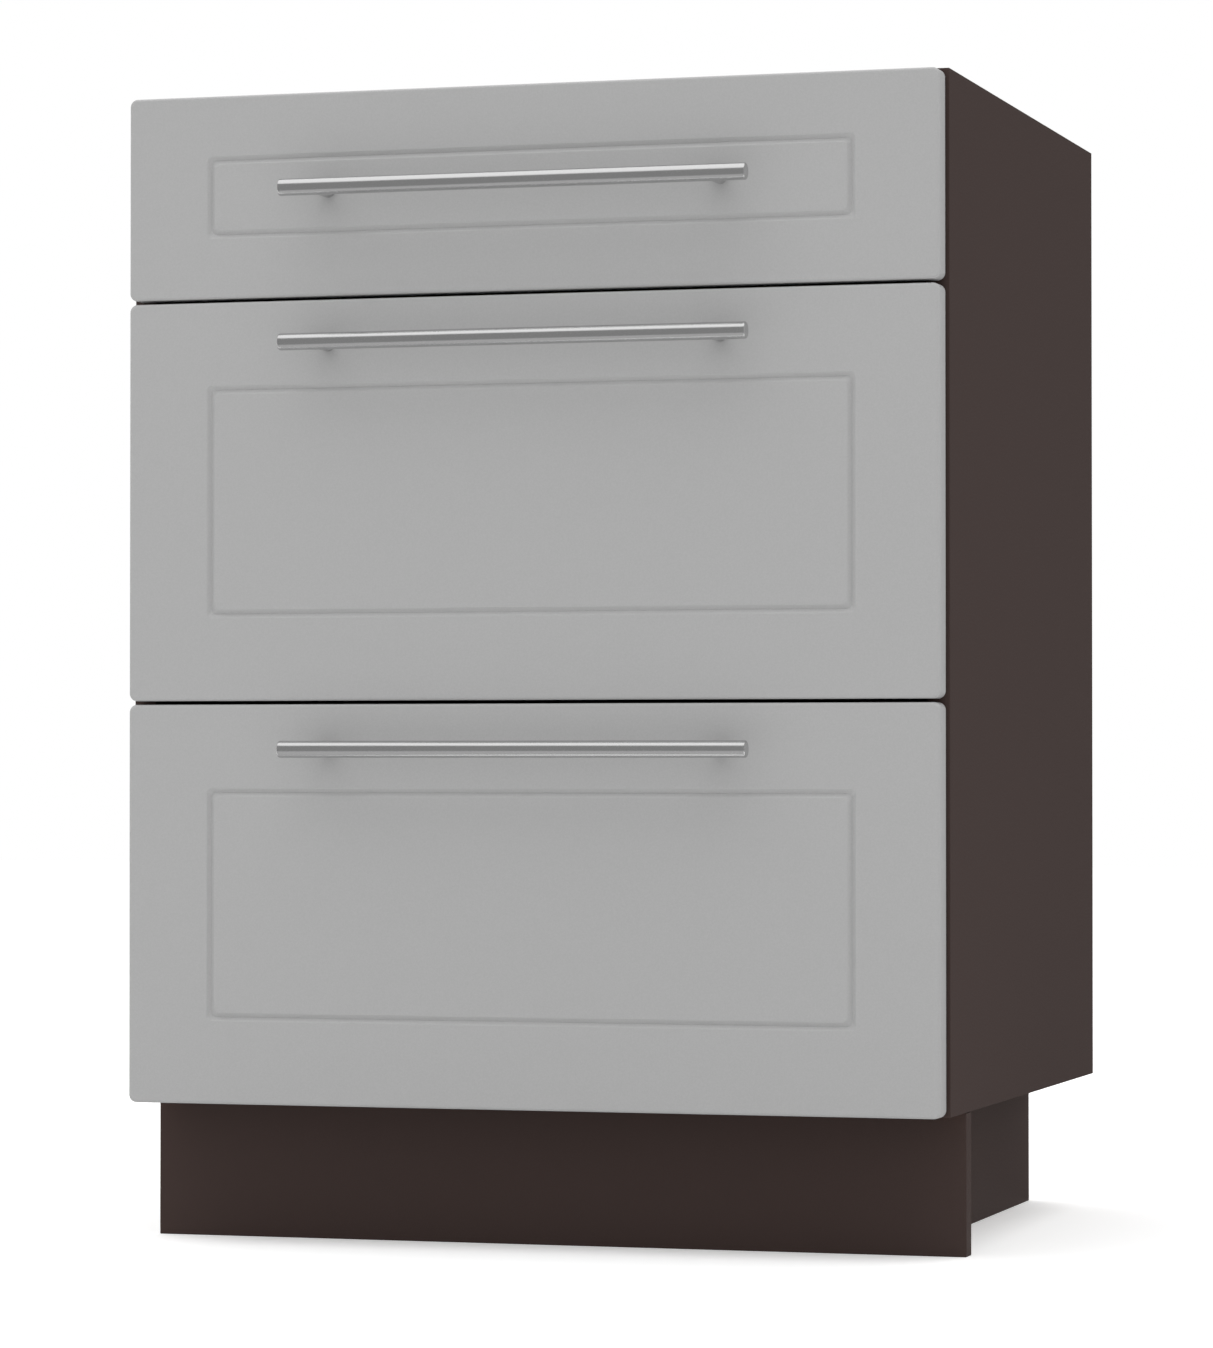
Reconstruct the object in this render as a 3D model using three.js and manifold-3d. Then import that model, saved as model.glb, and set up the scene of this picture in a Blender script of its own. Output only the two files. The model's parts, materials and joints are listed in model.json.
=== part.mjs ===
// Base cabinet with three drawers: a chipboard carcass on a set-back plinth, three
// drawers on telescopic ball-bearing runners, and round bar handles.
// Millimetres, +Z up. The origin is on the floor, under the middle of the object's box,
// and the drawer fronts look towards -Y.
import * as THREE from "three";
import { mergeVertices } from "three/addons/utils/BufferGeometryUtils.js";
import Module from "manifold-3d";

// ---- Driving dimensions -------------------------------------------------------------

// Clearance left between any two pieces that seat on each other.
const FIT = 0.3;

// Carcass
const CARCASS_WIDTH = 600;
const CARCASS_HEIGHT = 720;
const CARCASS_DEPTH = 502;
const BOARD = 16;
const BACK_PANEL = 3;
const BACK_PANEL_INSET = 16;
const BACK_GROOVE_DEPTH = 8;
const TOP_RAIL_DEPTH = 100;

// Plinth
const PLINTH_HEIGHT = 100;
const PLINTH_BOARD = 16;
const PLINTH_SETBACK = 49;
const PLINTH_SIDE_INSET = 50;
const PLINTH_REAR_INSET = 5;

// Drawer fronts
const FRONT_BOARD = 16;
const FRONT_SIDE_REVEAL = 2.5;
const FRONT_TOP_REVEAL = 1.5;
const FRONT_GAP = 2.5;
const TOP_FRONT_HEIGHT = 145;
const BUMPER_GAP = 2;
const FRONT_EDGE_ROUND = 2;
const FRONT_CORNER_RADIUS = 5.5;

// Frame groove milled into each front
const GROOVE_WIDTH = 6;
const GROOVE_FLOOR = 1.2;
const GROOVE_DEPTH = 1.9;
const GROOVE_OUTER_RADIUS = 3;
const GROOVE_INNER_RADIUS = 4.5;
const GROOVE_MARGIN = 59.5;
const GROOVE_MARGIN_BELOW = 59;
const GROOVE_MARGIN_TOP_FRONT = 43;

// Handle: a round bar on two round posts, each held by a screw through the front
const BAR_DIAMETER = 12;
const BAR_LENGTH = 341;
const BAR_CHAMFER = 0.8;
const BAR_STANDOFF = 29;
const POST_DIAMETER = 10;
const POST_SPACING = 288;
const SPIGOT_DIAMETER = 5;
const SPIGOT_DEPTH = 7;
const HANDLE_SHIFT = -2;
const HANDLE_DROP = 32;
const HANDLE_DROP_TOP_FRONT = 70.5;
const SCREW_DIAMETER = 4;
const SCREW_REACH = 10;
const SCREW_HEAD_DIAMETER = 8;
const SCREW_HEAD_HEIGHT = 2.6;
const SCREW_HOLE_CLEARANCE = 1;
const HEAD_HOLE_DIAMETER = 12;
const POST_BORE_SPARE = 3;

// Drawer boxes
const BOX_BOARD = 16;
const BOX_BOTTOM = 3;
const BOX_GROOVE_DEPTH = 8;
const BOX_BOTTOM_RISE = 10;
const BOX_LIFT = 30;
const BOX_DROP = 54.25;
const BOX_RAIL_CLEARANCE = 10;

// Telescopic runners
const RUNNER_LENGTH = 450;
const RUNNER_HEIGHT = 45;
const RUNNER_THICKNESS = 12.7;
const RUNNER_STEEL = 1.2;
const RUNNER_LIP = 3;
const RUNNER_WEB_GAP = 1;
const RUNNER_SETBACK = 2;
const RUNNER_LIFT = 35;
const BALL_DIAMETER = 3.2;
const BALL_ROW_LENGTH = 200;
const BALL_ROW_END = 12;

// Facets of round pieces
const BAR_SIDES = 32;
const POST_SIDES = 24;
const SCREW_SIDES = 16;
const ARC_STEPS = 4;

// ---- Sizes worked out from them -----------------------------------------------------

const carcassFront = FRONT_BOARD + BUMPER_GAP;
const carcassBack = carcassFront + CARCASS_DEPTH;
const carcassBottom = PLINTH_HEIGHT;
const carcassTop = PLINTH_HEIGHT + CARCASS_HEIGHT;
const insideHalf = CARCASS_WIDTH / 2 - BOARD;
const backPanelRear = carcassBack - BACK_PANEL_INSET;
const backPanelFront = backPanelRear - BACK_PANEL;
const boardsBack = backPanelFront - FIT;

const plinthFront = carcassFront + PLINTH_SETBACK;
const plinthTop = PLINTH_HEIGHT - FIT;

const frontWidth = CARCASS_WIDTH - 2 * FRONT_SIDE_REVEAL;
const frontStack = CARCASS_HEIGHT - FRONT_TOP_REVEAL;
const tallFrontHeight = (frontStack - TOP_FRONT_HEIGHT - 2 * FRONT_GAP) / 2;

const runnerFront = carcassFront + RUNNER_SETBACK;
const boxFront = FRONT_BOARD + FIT;
const boxBack = runnerFront + RUNNER_LENGTH;
const boxHalf = insideHalf - RUNNER_THICKNESS - 2 * FIT;
const boxInsideHalf = boxHalf - BOX_BOARD;

const overallDepth = BAR_STANDOFF + BAR_DIAMETER / 2 + carcassBack;
const frontFaceY = BAR_STANDOFF + BAR_DIAMETER / 2 - overallDepth / 2;

const middleFrontBottom = carcassBottom + tallFrontHeight + FRONT_GAP;
const topFrontBottom = middleFrontBottom + tallFrontHeight + FRONT_GAP;
const tallBoxHeight = tallFrontHeight - BOX_LIFT - BOX_DROP;
const topBoxTop = carcassTop - BOARD - BOX_RAIL_CLEARANCE;
const topBoxHeight = topBoxTop - topFrontBottom - BOX_LIFT;

// bottom: lower edge of the front, from the floor
// grooveAbove, grooveBelow: from the front's upper and lower edge to the frame groove
const DRAWERS = [
  {
    name: "top",
    bottom: topFrontBottom,
    frontHeight: TOP_FRONT_HEIGHT,
    grooveAbove: GROOVE_MARGIN_TOP_FRONT,
    grooveBelow: GROOVE_MARGIN_TOP_FRONT,
    handleDrop: HANDLE_DROP_TOP_FRONT,
    boxHeight: topBoxHeight,
  },
  {
    name: "middle",
    bottom: middleFrontBottom,
    frontHeight: tallFrontHeight,
    grooveAbove: GROOVE_MARGIN,
    grooveBelow: GROOVE_MARGIN_BELOW,
    handleDrop: HANDLE_DROP,
    boxHeight: tallBoxHeight,
  },
  {
    name: "bottom",
    bottom: carcassBottom,
    frontHeight: tallFrontHeight,
    grooveAbove: GROOVE_MARGIN,
    grooveBelow: GROOVE_MARGIN_BELOW,
    handleDrop: HANDLE_DROP,
    boxHeight: tallBoxHeight,
  },
];

const SIDES = [
  { name: "left", sign: -1 },
  { name: "right", sign: 1 },
];

// ---- Materials ----------------------------------------------------------------------

function finish(color, roughness, metalness = 0) {
  return () => new THREE.MeshStandardMaterial({ color, roughness, metalness });
}

const brownBoard = finish(0x4a3f3c, 0.6);
const plinthBoard = finish(0x423734, 0.6);
const greyFront = finish(0xababab, 0.5);
const hardboard = finish(0x9a7a58, 0.8);
const satinSteel = finish(0xc2c2c0, 0.3, 1);
const zincSteel = finish(0xb4b8bc, 0.4, 1);

// ---- Shapes -------------------------------------------------------------------------

const wasm = await Module();
wasm.setup();

function toSolid(geometry) {
  const bare = geometry.clone();
  bare.deleteAttribute("normal");
  bare.deleteAttribute("uv");
  const merged = mergeVertices(bare);
  return new wasm.Manifold(
    new wasm.Mesh({
      numProp: 3,
      vertProperties: merged.attributes.position.array,
      triVerts: new Uint32Array(merged.index.array),
    }),
  );
}

function toGeometry(solid) {
  const mesh = solid.getMesh();
  const geometry = new THREE.BufferGeometry();
  geometry.setAttribute("position", new THREE.BufferAttribute(mesh.vertProperties, 3));
  geometry.setIndex(new THREE.BufferAttribute(mesh.triVerts, 1));
  geometry.computeVertexNormals();
  return geometry;
}

function cut(geometry, cutters) {
  const solid = cutters.reduce((left, cutter) => left.subtract(toSolid(cutter)), toSolid(geometry));
  return toGeometry(solid);
}

function join(geometry, additions) {
  const solid = additions.reduce((sum, piece) => sum.add(toSolid(piece)), toSolid(geometry));
  return toGeometry(solid);
}

function shapeOf(points) {
  return new THREE.Shape(points.map(([a, b]) => new THREE.Vector2(a, b)));
}

// A flat board, from its lowest to its highest corner.
function board([x0, y0, z0], [x1, y1, z1]) {
  const geometry = new THREE.BoxGeometry(x1 - x0, y1 - y0, z1 - z0);
  return geometry.translate((x0 + x1) / 2, (y0 + y1) / 2, (z0 + z1) / 2);
}

// A plan outline in (x, y), carried up from z0 to z1.
function extrudeUp(shape, z0, z1) {
  const geometry = new THREE.ExtrudeGeometry(shape, { depth: z1 - z0, bevelEnabled: false });
  return geometry.translate(0, 0, z0);
}

// A section in (x, z), carried back from y0 to y1.
function extrudeBack(shape, y0, y1, settings = { bevelEnabled: false }) {
  const geometry = new THREE.ExtrudeGeometry(shape, { depth: y1 - y0, ...settings });
  return geometry.rotateX(Math.PI / 2).translate(0, y1, 0);
}

// A section in (y, z), carried across from x0 to x1.
function extrudeAcross(shape, x0, x1) {
  const geometry = new THREE.ExtrudeGeometry(shape, { depth: x1 - x0, bevelEnabled: false });
  const turn = new THREE.Matrix4().makeBasis(
    new THREE.Vector3(0, 1, 0),
    new THREE.Vector3(0, 0, 1),
    new THREE.Vector3(1, 0, 0),
  );
  return geometry.applyMatrix4(turn).translate(x0, 0, 0);
}

// A round rod along Y, from y0 back to y1.
function rod(diameter, y0, y1, sides) {
  const geometry = new THREE.CylinderGeometry(diameter / 2, diameter / 2, y1 - y0, sides);
  return geometry.translate(0, (y0 + y1) / 2, 0);
}

// A rectangle with round corners, its middle at (0, middle).
function roundedRectangle(PathClass, width, height, radius, middle) {
  const path = new PathClass();
  const a = width / 2 - radius;
  const b = height / 2 - radius;
  path.absarc(a, middle + b, radius, 0, Math.PI / 2);
  path.absarc(-a, middle + b, radius, Math.PI / 2, Math.PI);
  path.absarc(-a, middle - b, radius, Math.PI, Math.PI * 1.5);
  path.absarc(a, middle - b, radius, Math.PI * 1.5, Math.PI * 2);
  path.closePath();
  return path;
}

function piece(name, geometry, material) {
  const mesh = new THREE.Mesh(geometry, material());
  mesh.name = name;
  return mesh;
}

// ---- Carcass ------------------------------------------------------------------------

// A side panel, with the groove for the back panel milled into its inner face.
function sidePanel({ name, sign }) {
  const inner = sign * insideHalf;
  const outer = (sign * CARCASS_WIDTH) / 2;
  const groove = sign * (insideHalf + BACK_GROOVE_DEPTH);
  const plan = shapeOf([
    [outer, carcassFront],
    [outer, carcassBack],
    [inner, carcassBack],
    [inner, backPanelRear + FIT],
    [groove, backPanelRear + FIT],
    [groove, backPanelFront - FIT],
    [inner, backPanelFront - FIT],
    [inner, carcassFront],
  ]);
  return piece(`side_panel_${name}`, extrudeUp(plan, carcassBottom, carcassTop), brownBoard);
}

function carcass() {
  const group = new THREE.Group();
  const half = insideHalf - FIT;
  const railBottom = carcassTop - BOARD;
  const backHalf = insideHalf + BACK_GROOVE_DEPTH - FIT;
  group.add(
    ...SIDES.map(sidePanel),
    piece(
      "bottom_panel",
      board([-half, carcassFront, carcassBottom], [half, boardsBack, carcassBottom + BOARD]),
      brownBoard,
    ),
    piece(
      "top_rail_front",
      board([-half, carcassFront, railBottom], [half, carcassFront + TOP_RAIL_DEPTH, carcassTop]),
      brownBoard,
    ),
    piece(
      "top_rail_rear",
      board([-half, boardsBack - TOP_RAIL_DEPTH, railBottom], [half, boardsBack, carcassTop]),
      brownBoard,
    ),
    piece(
      "back_panel",
      board([-backHalf, backPanelFront, carcassBottom], [backHalf, backPanelRear, carcassTop]),
      hardboard,
    ),
  );
  return group;
}

// The front board carries the full width, and the side boards stand in behind it.
function plinth() {
  const group = new THREE.Group();
  const half = CARCASS_WIDTH / 2;
  const rear = plinthFront + PLINTH_BOARD;
  const sideBack = carcassBack - PLINTH_REAR_INSET;
  group.add(
    piece("plinth_front", board([-half, plinthFront, 0], [half, rear, plinthTop]), plinthBoard),
  );
  for (const { name, sign } of SIDES) {
    const outer = sign * (half - PLINTH_SIDE_INSET);
    const inner = outer - sign * PLINTH_BOARD;
    const low = [Math.min(outer, inner), rear + FIT, 0];
    const high = [Math.max(outer, inner), sideBack, plinthTop];
    group.add(piece(`plinth_side_${name}`, board(low, high), plinthBoard));
  }
  return group;
}

// ---- Telescopic runners -------------------------------------------------------------

// A runner's section is drawn in (t, z): t is the distance from the carcass side panel
// towards the drawer box, and z is measured from the runner's middle.
const runnerInside = RUNNER_HEIGHT / 2 - RUNNER_STEEL;
const middleHalf = runnerInside - FIT - BALL_DIAMETER;
const middleInside = middleHalf - RUNNER_STEEL;
const innerHalf = middleInside - BALL_DIAMETER - FIT;
const middleWeb = RUNNER_STEEL + RUNNER_WEB_GAP;
const outerLipEdge = RUNNER_THICKNESS - RUNNER_STEEL;
const middleLipEdge = outerLipEdge - RUNNER_WEB_GAP;
const innerFlangeEdge = middleWeb + RUNNER_STEEL + RUNNER_WEB_GAP;
const ballRowMiddle = (innerFlangeEdge + middleLipEdge - RUNNER_STEEL) / 2;

// Section of a C channel: its web at t = web, its flanges reaching to t = edge.
function channel(web, edge, half, lip) {
  const steel = Math.sign(edge - web) * RUNNER_STEEL;
  const upper = [
    [edge, half],
    [edge, half - lip],
    [edge - steel, half - lip],
    [edge - steel, half - RUNNER_STEEL],
    [web + steel, half - RUNNER_STEEL],
  ];
  const lower = upper.map(([t, z]) => [t, -z]).reverse();
  return [[web, half], ...upper, ...lower, [web, -half]];
}

// Section of one row of balls: it stands on a flange at z = base and ends at z = tip.
function ballRow(base, tip) {
  const radius = BALL_DIAMETER / 2;
  const way = Math.sign(tip - base);
  const root = base - (way * RUNNER_STEEL) / 2;
  const centre = tip - way * radius;
  const arc = Array.from({ length: 2 * ARC_STEPS + 1 }, (_, i) => {
    const angle = (Math.PI * i) / (2 * ARC_STEPS);
    return [ballRowMiddle - radius * Math.cos(angle), centre + way * radius * Math.sin(angle)];
  });
  return [[ballRowMiddle - radius, root], ...arc, [ballRowMiddle + radius, root]];
}

// Carries a runner section from y0 to y1 on one side of the cabinet, at height z.
function runnerBar(section, sign, y0, y1, z) {
  const points = section.map(([t, dz]) => [sign * (insideHalf - FIT - t), z + dz]);
  return extrudeBack(shapeOf(points), y0, y1);
}

function runnerOuter(sign, z) {
  const section = channel(0, outerLipEdge, RUNNER_HEIGHT / 2, RUNNER_LIP);
  return runnerBar(section, sign, runnerFront, runnerFront + RUNNER_LENGTH, z);
}

// The middle member, with its ball rows: the outer pair runs at its rear, in the outer
// member, and the inner pair at its front, on the inner member.
function runnerMiddle(sign, z) {
  const back = runnerFront + RUNNER_LENGTH;
  const section = channel(middleWeb, middleLipEdge, middleHalf, RUNNER_LIP);
  const rows = [1, -1].flatMap((way) => [
    runnerBar(
      ballRow(way * middleHalf, way * (runnerInside - FIT)),
      sign,
      back - BALL_ROW_END - BALL_ROW_LENGTH,
      back - BALL_ROW_END,
      z,
    ),
    runnerBar(
      ballRow(way * middleInside, way * (innerHalf + FIT)),
      sign,
      runnerFront + BALL_ROW_END,
      runnerFront + BALL_ROW_END + BALL_ROW_LENGTH,
      z,
    ),
  ]);
  return join(runnerBar(section, sign, runnerFront, back, z), rows);
}

function runnerInner(sign, z) {
  const section = channel(RUNNER_THICKNESS, innerFlangeEdge, innerHalf, RUNNER_STEEL * 2);
  return runnerBar(section, sign, runnerFront, runnerFront + RUNNER_LENGTH, z);
}

// ---- Drawers ------------------------------------------------------------------------
// A drawer's group stands at the lower edge of its front, so z = 0 is that edge.

function handlePostsX() {
  return SIDES.map(({ name, sign }) => ({
    name,
    x: HANDLE_SHIFT + (sign * POST_SPACING) / 2,
  }));
}

// The groove's cutter: a frame whose slanted walls lead down to a narrow flat floor.
function grooveCutter({ frontHeight, grooveAbove, grooveBelow }) {
  const wall = (GROOVE_WIDTH - GROOVE_FLOOR) / 2;
  const width = frontWidth - 2 * GROOVE_MARGIN;
  const tall = frontHeight - grooveAbove - grooveBelow;
  const middle = grooveBelow + tall / 2;
  const island = 2 * (GROOVE_WIDTH - wall);
  const shape = roundedRectangle(
    THREE.Shape,
    width - 2 * wall,
    tall - 2 * wall,
    GROOVE_OUTER_RADIUS - wall,
    middle,
  );
  shape.holes.push(
    roundedRectangle(
      THREE.Path,
      width - island,
      tall - island,
      GROOVE_INNER_RADIUS + wall,
      middle,
    ),
  );
  const settings = {
    bevelEnabled: true,
    bevelThickness: GROOVE_DEPTH,
    bevelSize: wall,
    bevelSegments: 1,
    curveSegments: ARC_STEPS,
  };
  return extrudeBack(shape, -GROOVE_DEPTH, 0, settings);
}

// The foil wraps a rounded edge round the face, and the back edge is square: the slab is
// made with both edges rounded, too thick by one of them, and its back is planed off.
function drawerFront(size) {
  const { name, frontHeight, handleDrop } = size;
  const round = FRONT_EDGE_ROUND;
  const shape = roundedRectangle(
    THREE.Shape,
    frontWidth - 2 * round,
    frontHeight - 2 * round,
    FRONT_CORNER_RADIUS - round,
    frontHeight / 2,
  );
  const settings = {
    bevelEnabled: true,
    bevelThickness: round,
    bevelSize: round,
    bevelSegments: ARC_STEPS,
    curveSegments: ARC_STEPS,
  };
  const slab = extrudeBack(shape, round, FRONT_BOARD, settings);
  const behind = board(
    [-frontWidth, FRONT_BOARD, -BOARD],
    [frontWidth, FRONT_BOARD + 2 * round, frontHeight + BOARD],
  );
  const holes = handlePostsX().map(({ x }) =>
    rod(SCREW_DIAMETER + SCREW_HOLE_CLEARANCE, -BOARD, 2 * FRONT_BOARD, SCREW_SIDES).translate(
      x,
      0,
      frontHeight - handleDrop,
    ),
  );
  const geometry = cut(slab, [behind, grooveCutter(size), ...holes]);
  return piece(`drawer_front_${name}`, geometry, greyFront);
}

function drawerBox({ name, frontHeight, handleDrop, boxHeight }) {
  const low = BOX_LIFT;
  const high = BOX_LIFT + boxHeight;
  const grooveLow = low + BOX_BOTTOM_RISE - FIT;
  const grooveHigh = low + BOX_BOTTOM_RISE + BOX_BOTTOM + FIT;

  const sides = SIDES.map((side) => {
    const inner = side.sign * boxInsideHalf;
    const outer = side.sign * boxHalf;
    const groove = side.sign * (boxInsideHalf + BOX_GROOVE_DEPTH);
    const section = shapeOf([
      [outer, low],
      [outer, high],
      [inner, high],
      [inner, grooveHigh],
      [groove, grooveHigh],
      [groove, grooveLow],
      [inner, grooveLow],
      [inner, low],
    ]);
    const geometry = extrudeBack(section, boxFront, boxBack);
    return piece(`box_side_${name}_${side.name}`, geometry, brownBoard);
  });

  const half = boxInsideHalf - FIT;
  const innerFace = boxFront + BOX_BOARD;
  const groovedBoard = shapeOf([
    [boxFront, low],
    [innerFace, low],
    [innerFace, grooveLow],
    [innerFace - BOX_GROOVE_DEPTH, grooveLow],
    [innerFace - BOX_GROOVE_DEPTH, grooveHigh],
    [innerFace, grooveHigh],
    [innerFace, high],
    [boxFront, high],
  ]);
  const headHoles = handlePostsX().map(({ x }) =>
    rod(HEAD_HOLE_DIAMETER, 0, 2 * innerFace, POST_SIDES).translate(x, 0, frontHeight - handleDrop),
  );
  const boxFrontBoard = cut(extrudeAcross(groovedBoard, -half, half), headHoles);

  const bottomHalf = boxInsideHalf + BOX_GROOVE_DEPTH - FIT;
  const bottomLow = low + BOX_BOTTOM_RISE;
  return [
    ...sides,
    piece(`box_front_${name}`, boxFrontBoard, brownBoard),
    piece(
      `box_back_${name}`,
      board([-half, boxBack - BOX_BOARD, grooveHigh], [half, boxBack, high]),
      brownBoard,
    ),
    piece(
      `box_bottom_${name}`,
      board(
        [-bottomHalf, innerFace - BOX_GROOVE_DEPTH + FIT, bottomLow],
        [bottomHalf, boxBack, bottomLow + BOX_BOTTOM],
      ),
      hardboard,
    ),
  ];
}

// The bar, with a blind hole in its back for the spigot of each post.
function handleBar() {
  const radius = BAR_DIAMETER / 2;
  const end = BAR_LENGTH / 2;
  const profile = [
    [0, -end],
    [radius - BAR_CHAMFER, -end],
    [radius, -end + BAR_CHAMFER],
    [radius, end - BAR_CHAMFER],
    [radius - BAR_CHAMFER, end],
    [0, end],
  ].map(([r, y]) => new THREE.Vector2(r, y));
  const bar = new THREE.LatheGeometry(profile, BAR_SIDES);
  bar.rotateZ(-Math.PI / 2).translate(HANDLE_SHIFT, -BAR_STANDOFF, 0);
  const holeEnd = -BAR_STANDOFF + radius - SPIGOT_DEPTH - FIT;
  const holes = handlePostsX().map(({ x }) =>
    rod(SPIGOT_DIAMETER + 2 * FIT, holeEnd, 0, SCREW_SIDES).translate(x, 0, 0),
  );
  return cut(bar, holes);
}

// A post: its foot stands on the front, and its head is hollowed to the bar.
function handlePost() {
  const radius = BAR_DIAMETER / 2;
  const foot = -FIT;
  const saddle = new THREE.CylinderGeometry(
    radius + FIT,
    radius + FIT,
    2 * POST_DIAMETER,
    BAR_SIDES,
  );
  saddle.rotateZ(Math.PI / 2).translate(0, -BAR_STANDOFF, 0);
  const bore = rod(
    SCREW_DIAMETER + 2 * FIT,
    -SCREW_REACH - POST_BORE_SPARE,
    FRONT_BOARD,
    SCREW_SIDES,
  );
  const shaft = cut(rod(POST_DIAMETER, -BAR_STANDOFF, foot, POST_SIDES), [saddle, bore]);
  const spigotEnd = -BAR_STANDOFF + radius - SPIGOT_DEPTH;
  const spigotRoot = (spigotEnd - SCREW_REACH - POST_BORE_SPARE) / 2;
  return join(shaft, [rod(SPIGOT_DIAMETER, spigotEnd, spigotRoot, SCREW_SIDES)]);
}

// A pan-head screw: its head lies behind the front, and its end is in the post.
function handleScrew() {
  const seat = FRONT_BOARD + FIT;
  const head = SCREW_HEAD_DIAMETER / 2;
  const crown = SCREW_HEAD_HEIGHT / 4;
  const profile = [
    [0, -SCREW_REACH],
    [SCREW_DIAMETER / 2, -SCREW_REACH],
    [SCREW_DIAMETER / 2, seat],
    [head, seat],
    [head, seat + SCREW_HEAD_HEIGHT - crown],
    [head - crown, seat + SCREW_HEAD_HEIGHT],
    [0, seat + SCREW_HEAD_HEIGHT],
  ].map(([r, y]) => new THREE.Vector2(r, y));
  return new THREE.LatheGeometry(profile, SCREW_SIDES);
}

function handle({ name, frontHeight, handleDrop }) {
  const group = new THREE.Group();
  group.position.z = frontHeight - handleDrop;
  group.add(piece(`handle_bar_${name}`, handleBar(), satinSteel));
  for (const place of handlePostsX()) {
    const post = piece(`handle_post_${name}_${place.name}`, handlePost(), satinSteel);
    const screw = piece(`handle_screw_${name}_${place.name}`, handleScrew(), zincSteel);
    post.position.x = place.x;
    screw.position.x = place.x;
    group.add(post, screw);
  }
  return group;
}

function drawer(size) {
  const group = new THREE.Group();
  group.position.z = size.bottom;
  const runnerZ = BOX_LIFT + RUNNER_LIFT;
  group.add(drawerFront(size), ...drawerBox(size), handle(size));
  for (const { name, sign } of SIDES) {
    group.add(
      piece(`runner_outer_${size.name}_${name}`, runnerOuter(sign, runnerZ), zincSteel),
      piece(`runner_middle_${size.name}_${name}`, runnerMiddle(sign, runnerZ), zincSteel),
      piece(`runner_inner_${size.name}_${name}`, runnerInner(sign, runnerZ), zincSteel),
    );
  }
  return group;
}

// ---- The whole cabinet --------------------------------------------------------------

const cabinet = new THREE.Group();
cabinet.position.y = frontFaceY;
cabinet.add(carcass(), plinth(), ...DRAWERS.map(drawer));

export default cabinet;
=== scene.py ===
# %% [markdown]
# # A base cabinet with three drawers
# A kitchen base cabinet is a box of chipboard boards on a plinth. Three drawers run in
# it on telescopic steel runners, and each has a grey front with a milled frame groove
# and a round bar handle. The frame below brings every piece at its real size, in
# metres, so this lesson only makes the surfaces and their finishes.

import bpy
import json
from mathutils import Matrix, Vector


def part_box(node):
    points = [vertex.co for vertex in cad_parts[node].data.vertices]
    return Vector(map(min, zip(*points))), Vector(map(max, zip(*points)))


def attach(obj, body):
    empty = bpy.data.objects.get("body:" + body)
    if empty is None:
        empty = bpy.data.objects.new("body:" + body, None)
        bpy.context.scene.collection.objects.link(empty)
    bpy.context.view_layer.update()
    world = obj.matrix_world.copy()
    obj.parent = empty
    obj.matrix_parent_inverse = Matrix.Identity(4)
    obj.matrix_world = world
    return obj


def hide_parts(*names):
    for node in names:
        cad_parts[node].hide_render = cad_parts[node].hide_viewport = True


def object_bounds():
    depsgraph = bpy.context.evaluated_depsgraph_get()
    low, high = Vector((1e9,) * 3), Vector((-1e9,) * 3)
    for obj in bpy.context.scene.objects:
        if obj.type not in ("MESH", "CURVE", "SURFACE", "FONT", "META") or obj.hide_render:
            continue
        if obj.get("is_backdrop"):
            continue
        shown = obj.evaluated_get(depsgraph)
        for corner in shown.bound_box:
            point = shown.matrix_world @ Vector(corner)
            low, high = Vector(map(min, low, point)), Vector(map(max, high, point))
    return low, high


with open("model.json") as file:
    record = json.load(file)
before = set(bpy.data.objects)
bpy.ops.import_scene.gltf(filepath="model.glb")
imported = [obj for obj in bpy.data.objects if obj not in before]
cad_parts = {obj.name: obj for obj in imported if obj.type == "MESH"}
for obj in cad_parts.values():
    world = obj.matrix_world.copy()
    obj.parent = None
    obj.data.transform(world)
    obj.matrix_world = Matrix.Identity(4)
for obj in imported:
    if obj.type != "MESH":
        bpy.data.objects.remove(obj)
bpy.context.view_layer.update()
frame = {"nodes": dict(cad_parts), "record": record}

# %% Tools, and names used all through
import json
import math

import bmesh
import bpy
import numpy as np
from mathutils import Vector

MM = 0.001
LEVELS = ("top", "middle", "bottom")
SIDES = {"left": -1.0, "right": 1.0}
UP, DOWN = (0, 0, 1), (0, 0, -1)
FORWARD, BACK = (0, -1, 0), (0, 1, 0)
LEFT, RIGHT = (-1, 0, 0), (1, 0, 0)


def corners(node):
    """Lowest and highest corner of a CAD node, as two arrays of x, y, z in metres."""
    low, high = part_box(node)
    return np.array(low), np.array(high)


face_y = corners("drawer_front_top")[0][1]
print("faces of the fronts at y =", round(float(face_y), 4), "m")

# %% [markdown]
# ## From arrays to meshes
# The boards, bars and steel strips of the real cabinet are each one section carried
# along a line or round an axis. They could be drawn by hand in Edit Mode, with Extrude
# and Inset. Here they are worked out as whole arrays: rings of points along a path. A
# ring closes on itself, neighbouring rings are joined by quads, and the first and last
# ring are closed with one face each. That gives clean, closed bodies, which bevel and
# shade well, and a size changes with one number.

# %% Points and faces to an object
SHARP_ANGLE = math.radians(32)


def add_mesh(name, points, faces, materials):
    """Makes an object from points (n, 3) and faces, with every face turned outwards."""
    mesh = bpy.data.meshes.new(name)
    mesh.from_pydata(points.reshape(-1, 3).tolist(), [], faces)
    shell = bmesh.new()
    shell.from_mesh(mesh)
    bmesh.ops.recalc_face_normals(shell, faces=shell.faces)
    shell.to_mesh(mesh)
    shell.free()
    mesh.shade_smooth()
    mesh.set_sharp_from_angle(angle=SHARP_ANGLE)
    for material in materials:
        mesh.materials.append(material)
    piece = bpy.data.objects.new(name, mesh)
    bpy.context.collection.objects.link(piece)
    return piece


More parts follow.
